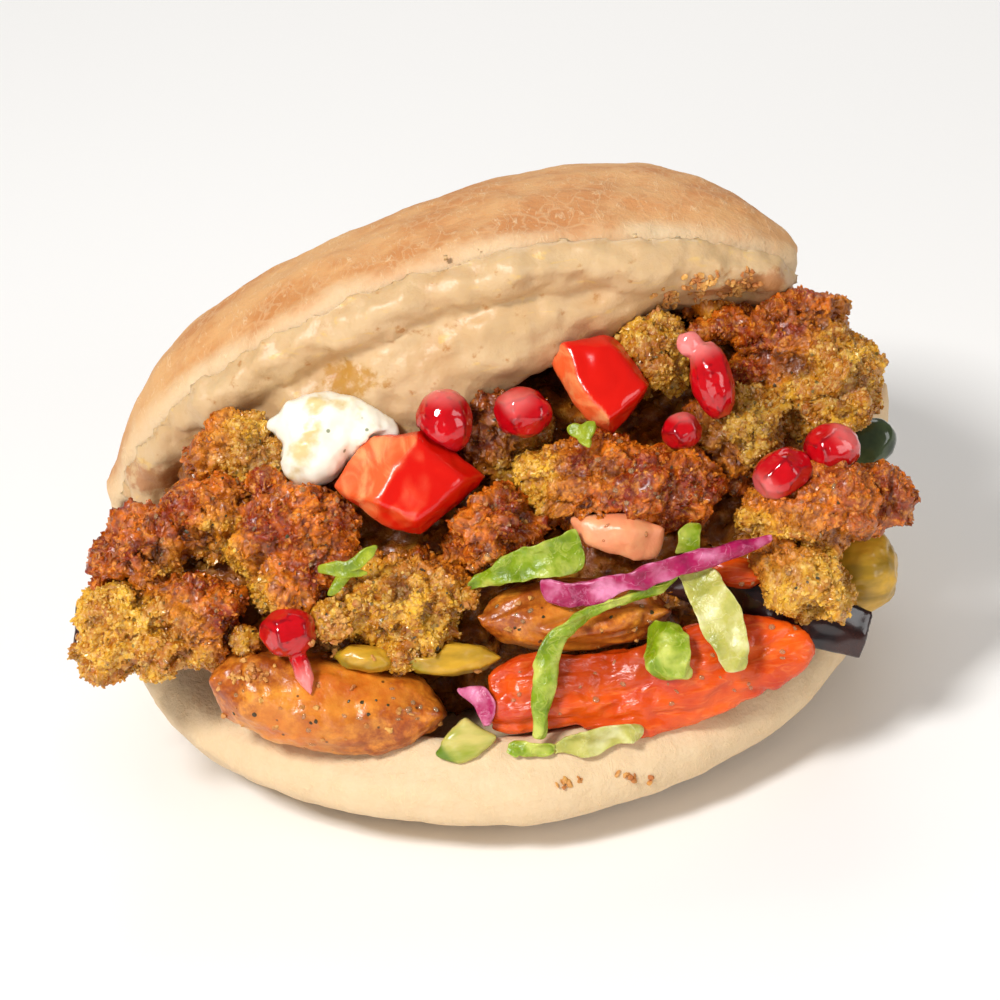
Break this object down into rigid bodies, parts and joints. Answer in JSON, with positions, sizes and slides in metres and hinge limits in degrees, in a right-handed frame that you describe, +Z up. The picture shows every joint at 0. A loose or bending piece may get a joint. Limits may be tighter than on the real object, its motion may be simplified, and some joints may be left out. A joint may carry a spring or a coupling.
{
  "type": "falafel sandwich",
  "caption": "Round flatbread slit open and stuffed with broken falafel, fried vegetables, tomato, pomegranate seeds and shreds under a layer of hummus.",
  "frame": {"origin": "under the middle of the flatbread, on the surface that it rests on", "axes": "+Z up; the stuffed mouth faces -Y; +X is to the right of someone who faces the mouth"},
  "size_m": [0.1501, 0.1366, 0.093],
  "materials": {
    "bread": "baked crust, floury and matt",
    "hummus": "thick moist spread, satin",
    "garlic_sauce": "thick white sauce, soft gloss",
    "stuffing": "packed fried crumbs, dark and moist",
    "falafel_crust": "deep-fried crust, rough with oily specks",
    "falafel_crumb": "broken green-gold crumb, coarse",
    "potato": "roasted and oiled, satin",
    "carrot": "cooked and glazed, wrinkled",
    "eggplant": "fried dark skin, glossy",
    "zucchini": "fried dark green skin, glossy",
    "pickle": "brined, wet gloss",
    "cucumber": "wet cut flesh with green skin",
    "lettuce": "fresh leaf, soft gloss",
    "lettuce_rib": "pale translucent leaf rib",
    "cabbage": "shredded red cabbage, soft gloss",
    "tomato": "tight glossy skin",
    "tomato_flesh": "wet cut flesh",
    "pomegranate": "juicy translucent bead, high gloss",
    "parsley": "chopped fresh leaf"
  },
  "bodies": {
    "root": {"cabbage_long": "cabbage", "cabbage_short": "cabbage", "carrot_long": "carrot", "carrot_short": "carrot", "cucumber": "cucumber", "eggplant_left": "eggplant", "eggplant_right": "eggplant", "falafel_behind_tomato": "falafel_crumb", "falafel_centre_left": "falafel_crust", "falafel_crushed": "falafel_crumb", "falafel_dark": "falafel_crust", "falafel_glossy": "falafel_crust", "falafel_left_arch": "falafel_crust", "falafel_left_half": "falafel_crumb", "falafel_right_crumb": "falafel_crumb", "falafel_right_disc": "falafel_crust", "falafel_scrap_left": "falafel_crumb", "falafel_scrap_middle": "falafel_crumb", "falafel_shell": "falafel_crust", "falafel_under_lip": "falafel_crust", "falafel_upper_left": "falafel_crumb", "falafel_whole": "falafel_crust", "garlic_sauce": "garlic_sauce", "hummus": "hummus", "lettuce_curl": "lettuce", "lettuce_low_left": "lettuce", "lettuce_low_middle": "lettuce_rib", "lettuce_point": "lettuce", "lettuce_rib": "lettuce_rib", "lettuce_ribbon": "lettuce", "lettuce_upper": "lettuce", "parsley_left": "parsley", "parsley_top": "parsley", "pickle_left": "pickle", "pickle_middle": "pickle", "pickle_right": "pickle", "pita": "bread", "pomegranate_1": "pomegranate", "pomegranate_2": "pomegranate", "pomegranate_3": "pomegranate", "pomegranate_4": "pomegranate", "pomegranate_5": "pomegranate", "pomegranate_6": "pomegranate", "pomegranate_7": "pomegranate", "potato_left": "potato", "potato_middle": "potato", "stuffing": "stuffing", "tomato_flesh": "tomato_flesh", "tomato_left": "tomato", "tomato_top": "tomato", "zucchini_right": "zucchini"}
  },
  "joints": []
}
